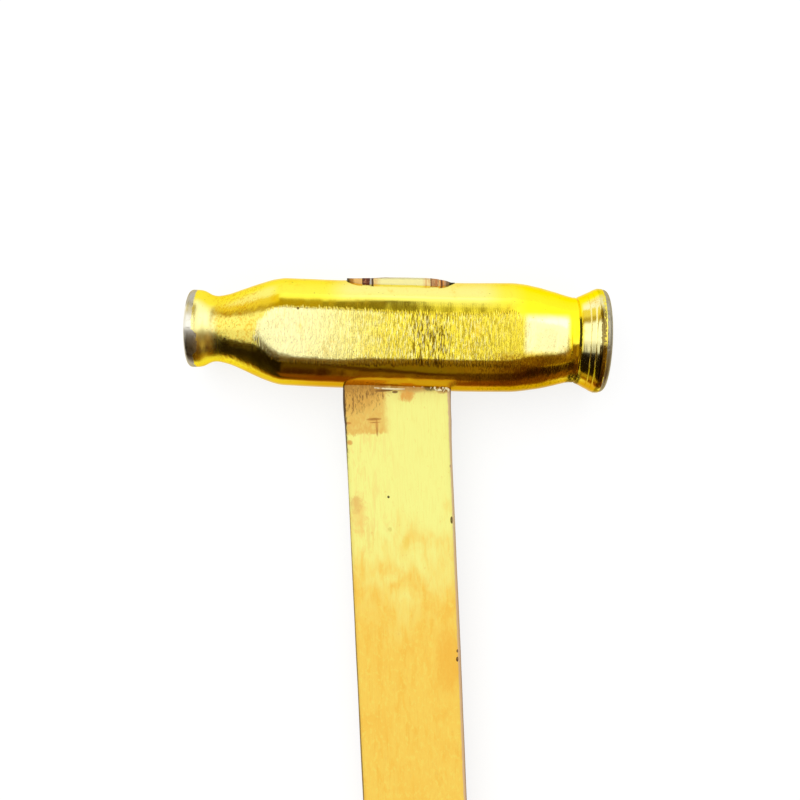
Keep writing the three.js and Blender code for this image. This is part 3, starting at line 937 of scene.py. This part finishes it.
def wood_material():
    mat, t = new_material("pale_wood")
    place, x, y, z = t.place()
    down = t.times(y, -1.0)
    streak = t.noise(place, (0.55, 0.12, 0.55), 4, 0.62, 0.6)
    fibre = t.noise(place, (2.6, 0.2, 2.6), 3, 0.6)
    cloud = t.noise(place, (0.16, 0.09, 0.16), 3, 0.55, 0.5)
    fleck = t.noise(place, (1.0, 0.55, 1.0), 4, 0.65, 0.3, (2, 7, 1))
    colour = t.paint(board(t, x, down, streak, fibre, cloud, fleck),
                     *stains_and_shade(t, place, x, y, z, fleck),
                     *edge_shading(t, x, z, down, fleck),
                     *end_grain(t, x, y, z, fibre, fleck))
    height = t.add(streak, t.times(fibre, 0.8), t.times(fleck, 0.3))
    t.surface(colour, height, 0.09, Roughness=0.6)
    return mat


# The small pieces
def fibre_material(name, scale, fade, shades, relief, roughness):
    """Wood in two shades along its fibres."""
    mat, t = new_material(name)
    fibre = t.noise(t.place()[0], scale, 3, 0.6)
    light, dark = (linear(*shade) for shade in shades)
    t.surface(t.mix(t.step(fibre, *fade), light, dark), fibre, relief, Roughness=roughness)
    return mat


def rusty_material():
    mat, t = new_material("wedge_steel")
    place, x = t.place()[:2]
    rust = t.noise(place, (1.3, 1.3, 1.3), 4, 0.65)
    colour = t.picked(
        (96, 44, 24),
        (t.step(rust, 0.5, 0.6), (160, 92, 50)),
        (t.step(rust, 0.62, 0.68), (196, 180, 160)),
        (t.times(t.step(x, 0, 1), t.step(rust, 0.3, 0.6, 0.9, 0.4)), (238, 186, 124)),
        (t.times(t.window(x, 8.6, 9.3, 0.15), 0.8), (130, 76, 40)),
        (t.times(t.window(x, 10.3, 10.8, 0.2), 0.7), (196, 122, 62)),
    )
    t.surface(colour, rust, 0.15, Metallic=t.step(rust, 0.6, 0.68, 0.1, 0.9), Roughness=0.5)
    return mat


# Build the pieces
head = finish_piece(make_head(), gilt_material())
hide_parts("hammer_head")
handle = finish_piece(make_handle(), wood_material(), PLANK, 40)
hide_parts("handle")
shaving_wood = fibre_material("shavings", (0.9, 0.9, 2.2), (0.5, 0.66),
                              ((255, 240, 190), (196, 148, 76)), relief=0.05, roughness=0.55)
finish_piece(make_shavings(), shaving_wood, PLANK, 50)

wedge_wood = fibre_material("wedge_wood", (1.6, 0.4, 2.2), (0.4, 0.65),
                            ((226, 176, 104), (150, 98, 50)), relief=0.12, roughness=0.7)
wedge_looks = {"wedge_wood": wedge_wood, "wedge_steel": rusty_material()}
for name, sizes in WEDGES.items():
    wedge = wedge_mesh(name + "_piece", *sizes)
    slot = "wedge_wood" if name == "wooden_wedge" else "wedge_steel"
    if slot == "wedge_wood":
        for other in list(WEDGES)[1:]:
            boolean(wedge, wedge_room(other))
    finish_piece(wedge, wedge_looks[slot])
    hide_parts(name)


# Camera
def make_camera():
    """Looks down on the head as the photograph does: the head's middle shows at this pixel."""
    photo_size, sensor = 800, 36
    focal, distance = 1072.0, 299.65
    azimuth, tilt, roll = (math.radians(a) for a in (0.39, 2.25, 1.7335))
    middle = (396.07, 334.67)
    towards = Vector((math.sin(azimuth) * math.cos(tilt), math.sin(tilt), math.cos(azimuth) * math.cos(tilt)))
    right = Vector((0, 1, 0)).cross(towards).normalized()
    up = towards.cross(right)
    rolled = Matrix.Rotation(-roll, 3, "Z") @ Matrix((right, up, towards))
    ray = Vector((middle[0] - photo_size / 2, photo_size / 2 - middle[1], -focal)).normalized()
    aim = Vector((0, 0, -1)).rotation_difference(ray).to_matrix()
    axes = (aim @ rolled).transposed()
    data = bpy.data.cameras.new("camera")
    data.sensor_width = sensor
    data.lens = sensor * focal / photo_size
    data.clip_start = 0.01
    camera = show("camera", data)
    position = ORIGIN + TURN @ (towards * distance / 1000)
    camera.matrix_world = Matrix.Translation(position) @ (TURN @ axes).to_4x4()
    bpy.context.scene.camera = camera


# Floor and light
SUN_STRENGTH, SKY_STRENGTH, FLOOR_GLOW = 1.25, 0.62, 0.76


def seen(t):
    """1 where the background is seen, straight or in metal or glass, and 0 where it lights things."""
    path = t.node("ShaderNodeLightPath").outputs
    return t.most(path["Is Camera Ray"], path["Is Glossy Ray"], path["Is Transmission Ray"])


def make_floor():
    size = 3.0
    corners = [(-size, -size, 0), (size, -size, 0), (size, size, 0), (-size, size, 0)]
    mesh = bpy.data.meshes.new("floor")
    mesh.from_pydata(corners, [], [(0, 1, 2, 3)])
    floor = show("floor", mesh)
    mat, t = new_material("floor")
    diffuse = t.node("ShaderNodeBsdfDiffuse", {"Color": (0.3, 0.3, 0.3)})
    glow = t.node("ShaderNodeEmission", {"Color": (1, 1, 1), "Strength": t.times(seen(t), FLOOR_GLOW)})
    both = t.node("ShaderNodeAddShader", {0: diffuse.outputs[0], 1: glow.outputs[0]})
    t.node("ShaderNodeOutputMaterial", {"Surface": both.outputs[0]})
    mesh.materials.append(mat)


def make_world():
    world = bpy.data.worlds.new("world")
    bpy.context.scene.world = world
    t = Tree(world)
    white = t.node("ShaderNodeBackground", {"Color": (1, 1, 1), "Strength": 1.0})
    sky = t.node("ShaderNodeBackground", {"Color": (1, 1, 1), "Strength": SKY_STRENGTH})
    both = t.node("ShaderNodeMixShader", {0: seen(t), 1: sky.outputs[0], 2: white.outputs[0]})
    t.node("ShaderNodeOutputWorld", {"Surface": both.outputs[0]})
    data = bpy.data.lights.new("key", "SUN")
    data.energy = SUN_STRENGTH
    data.angle = math.radians(60)
    key = show("key", data)
    key.rotation_euler = (math.radians(-24), math.radians(-14), 0)
    key.visible_glossy = False


# The cards round the hammer: lateral from, to, softness; around from, to, softness; colour
CARDS = (
    # Upper half: the big soft light and its dark and bright parts.
    (-99, 99, 1, -9, 199, 8, (1.15, 1.15, 1.1)),
    (-99, -31, 6, -38, 0, 10, (0.95, 0.92, 0.85)),
    (-9.5, -4, 2, -20, -6, 8, (0.6, 0.5, 0.25)),
    (-17, -8, 2, -9, 50, 8, (1.7, 1.7, 1.7)),
    (-8, -5.0, 1.5, -12, 50, 8, (1.35, 1.35, 1.35)),
    (-5.0, -3.0, 1.2, -12, 50, 8, (1.1, 1.08, 1.0)),
    (-3.0, -0.8, 1.2, -9, 50, 8, (0.9, 0.86, 0.7)),
    (-0.8, 2.4, 1.0, -9, 50, 8, (0.42, 0.36, 0.25)),
    (2.4, 5.0, 1.2, -9, 26, 8, (0.85, 0.78, 0.6)),
    (5.0, 8.5, 1.5, -9, 50, 8, (1.1, 1.05, 0.9)),
    (8, 20, 3, -8, 53, 6, (1.5, 1.5, 1.5)),
    (17, 70, 12, -8, 62, 8, (1.3, 1.28, 1.15)),
    (26, 44, 9, 12, 58, 12, (1.8, 1.8, 1.8)),
    (30, 70, 12, -52, -8, 8, (0.2, 0.13, 0.02)),
    (30, 70, 12, -84, -52, 10, (0.75, 0.5, 0.09)),
    (52, 99, 4, -60, 199, 10, (0.36, 0.35, 0.33)),
    (-4.4, 1.2, 1.6, 22, 72, 8, (0.13, 0.095, 0.005)),
    (-17, -4.4, 3, 40, 77, 7, (0.48, 0.34, 0.03)),
    (-99, -14, 9, 52, 72, 9, (0.5, 0.34, 0.03)),
    (-60, -16, 8, 68, 94, 10, (0.92, 0.74, 0.12)),
    (-5, 6, 3, 84, 130, 10, (1.5, 1.5, 1.6)),
    # Towards the handle: dark, with dim brown strips.
    (-99, -45, 6, -66, -40, 8, (0.09, 0.06, 0.01)),
    (-99, -45, 6, -93, -64, 6, (0.02, 0.012, 0.003)),
    (-38, -11, 7, -36, -9, 6, (0.07, 0.04, 0.01)),
    (-47, -11, 7, -93, -32, 8, (0.012, 0.007, 0.003)),
    (-9.5, -4, 2, -60, -24, 8, (0.24, 0.15, 0.03)),
    (-9.5, -4, 2, -82, -58, 6, (0.085, 0.05, 0.01)),
    (-9.5, -4, 2, -93, -82, 4, (0.03, 0.004, 0.002)),
    (-4, 0.6, 1.5, -46, -8, 4, (0.12, 0.036, 0.004)),
    (0.6, 3.2, 1.0, -46, -8, 4, (0.24, 0.16, 0.04)),
    (-4, 3.2, 1.5, -71, -46, 5, (0.2, 0.13, 0.02)),
    (-4, 3.2, 1.5, -80, -71, 4, (0.06, 0.02, 0.01)),
    (-4, 3.2, 1.5, -93, -80, 4, (0.22, 0.11, 0.02)),
    (3.2, 9, 2, -16, -7, 4, (0.13, 0.05, 0.01)),
    (3.2, 9, 2, -66, -16, 6, (0.28, 0.15, 0.03)),
    (3.2, 9, 2, -93, -68, 4, (0.1, 0.045, 0.01)),
    (9, 22, 5, -42, -10, 6, (0.42, 0.25, 0.04)),
    (9, 22, 5, -66, -44, 6, (0.15, 0.06, 0.01)),
    (9, 22, 5, -93, -66, 6, (0.07, 0.02, 0.005)),
    (22, 36, 5, -52, -12, 8, (0.24, 0.12, 0.02)),
    (22, 36, 5, -93, -58, 8, (0.03, 0.01, 0.004)),
    (34, 99, 2, -93, -76, 4, (0.2, 0.12, 0.05)),
    # The floor's far side, in shade.
    (-99, 99, 2, -109, -100, 4, (0.6, 0.36, 0.05)),
    (-99, 99, 2, -101, -91, 4, (0.26, 0.1, 0.01)),
    (-99, -20, 8, -99, -88, 5, (0.03, 0.02, 0.005)),
)


def tent_mesh():
    """A dome of quads over the hammer, and a low card over the floor on the handle's side."""
    radius, rows, columns = 1.4, 24, 64
    verts = []
    for r in range(rows + 1):
        a = r / rows * math.pi / 2
        for c in range(columns):
            b = 2 * math.pi * c / columns
            verts.append((radius * math.cos(a) * math.cos(b), radius * math.cos(a) * math.sin(b),
                          radius * math.sin(a)))
    faces = grid_faces(rows + 1, columns)
    faces.append(tuple(range(len(verts), len(verts) + 4)))
    near, far, height = ORIGIN.y - 0.055, 1.3, 0.0005
    verts += [(-far, near, height), (far, near, height), (far, -far, height), (-far, -far, height)]
    mesh = bpy.data.meshes.new("tent")
    mesh.from_pydata(verts, [], faces)
    return mesh


def make_tent():
    """Cards and lamps round the hammer, as polished metal shows them.

    A card is painted by two angles, seen from the hammer: lateral, from straight up towards the
    large face, and around, from straight up towards the top of the head.
    """
    mesh = tent_mesh()
    tent = show("tent", mesh)
    tent.visible_camera = False
    tent.visible_diffuse = False
    tent.visible_shadow = False
    mat, t = new_material("tent")
    mat.cycles.emission_sampling = "NONE"
    at = t.node("ShaderNodeNewGeometry").outputs["Position"]
    away = t.node("ShaderNodeVectorMath", {0: at, 1: tuple(ORIGIN)}, operation="SUBTRACT").outputs[0]
    direction = t.node("ShaderNodeVectorMath", {0: away}, operation="NORMALIZE").outputs[0]
    dx, dy, dz = t.split(direction)
    lateral = t.math("DEGREES", t.math("ARCSINE", dx))
    around = t.math("DEGREES", t.math("ARCTAN2", dy, dz))
    colour = (0.13, 0.06, 0.015)
    for a0, a1, soft_a, r0, r1, soft_r, tint in CARDS:
        weight = t.times(t.window(lateral, a0, a1, soft_a), t.window(around, r0, r1, soft_r))
        colour = t.mix(weight, colour, tint)
    glow = t.node("ShaderNodeEmission", {"Color": colour, "Strength": 1.0})
    t.node("ShaderNodeOutputMaterial", {"Surface": glow.outputs[0]})
    mesh.materials.append(mat)


make_camera()
make_floor()
make_world()
make_tent()
bpy.context.scene.view_settings.view_transform = "Standard"
